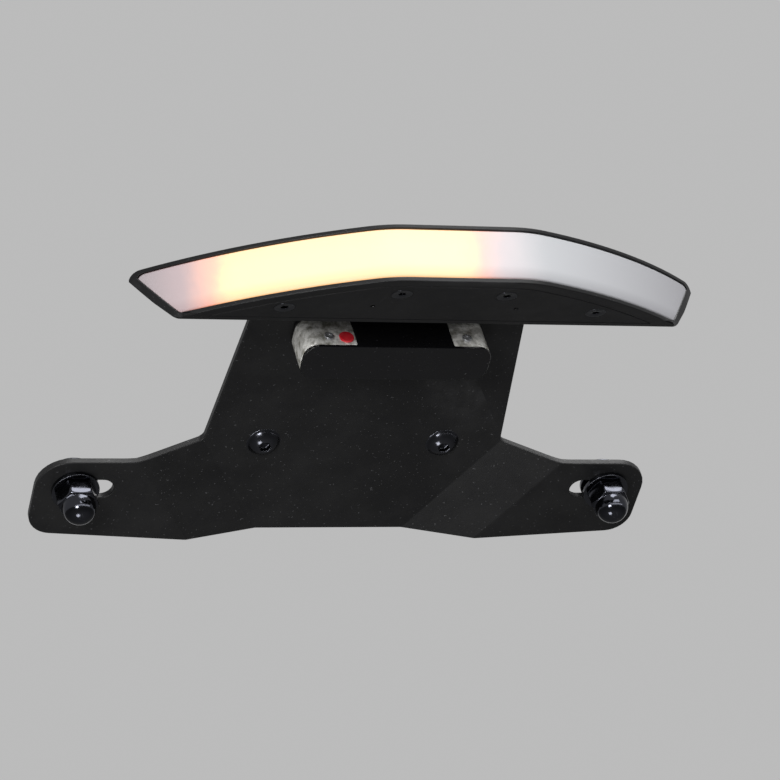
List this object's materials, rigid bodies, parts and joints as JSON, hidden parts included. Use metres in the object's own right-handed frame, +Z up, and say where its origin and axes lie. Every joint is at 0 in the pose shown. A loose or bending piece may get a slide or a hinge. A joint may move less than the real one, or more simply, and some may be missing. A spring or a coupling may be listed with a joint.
{
  "type": "tail tidy",
  "caption": "Folded black sheet bracket for a number plate, with a swept signal light bar under its tongue, a small plate lamp on its neck and slotted ears with dome nuts.",
  "frame": {"origin": "midway between the two tail bolt holes, on the top face of the tongue", "axes": "+X along the width, to the right; +Y forwards, away from the light bar's lens; +Z up, square to the tongue"},
  "size_m": [0.174, 0.1291, 0.0468],
  "materials": {
    "powder_black": "satin black powder coat with a fine grain",
    "housing_black": "moulded black plastic, faint grain",
    "frosted_lens": "frosted white translucent plastic, lit amber in its left half",
    "rubber_black": "matt black rubber",
    "strip_white": "white flexible circuit board",
    "diode_amber": "clear resin over an amber chip",
    "fastener_black": "black zinc plated steel, glossy",
    "fastener_bright": "bright zinc plated steel",
    "lamp_bright": "bright plated plastic",
    "cap_black": "glossy black plastic",
    "window_clear": "clear moulded plastic",
    "board_green": "green circuit board",
    "diode_white": "clear resin over a white chip",
    "plug_red": "soft red plastic"
  },
  "bodies": {
    "root": {"bracket": "powder_black", "bar_housing": "housing_black", "bar_base_plate": "housing_black", "bar_lens": "frosted_lens", "bar_gasket": "rubber_black", "bar_lead_grommet": "rubber_black", "lamp_pad": "rubber_black", "lamp_lead_grommet": "rubber_black", "light_strip_board": "strip_white", "diodes_left": "diode_amber", "diodes_right": "diode_amber", "bar_base_screws": "fastener_black", "bar_screw_left": "fastener_black", "bar_screw_right": "fastener_black", "lamp_screw_left": "fastener_black", "lamp_screw_right": "fastener_black", "neck_screw_left": "fastener_black", "neck_screw_right": "fastener_black", "plate_bolt_left": "fastener_black", "plate_bolt_right": "fastener_black", "bolt_washer_left": "fastener_black", "bolt_washer_right": "fastener_black", "nut_washer_left": "fastener_black", "nut_washer_right": "fastener_black", "dome_nut_left": "fastener_black", "dome_nut_right": "fastener_black", "lamp_side_screws": "fastener_bright", "neck_collar_left": "fastener_bright", "neck_collar_right": "fastener_bright", "neck_nut_left": "fastener_bright", "neck_nut_right": "fastener_bright", "lamp_body": "lamp_bright", "lamp_cap": "cap_black", "lamp_window": "window_clear", "lamp_board": "board_green", "lamp_diodes": "diode_white", "lamp_plug": "plug_red"}
  },
  "joints": []
}
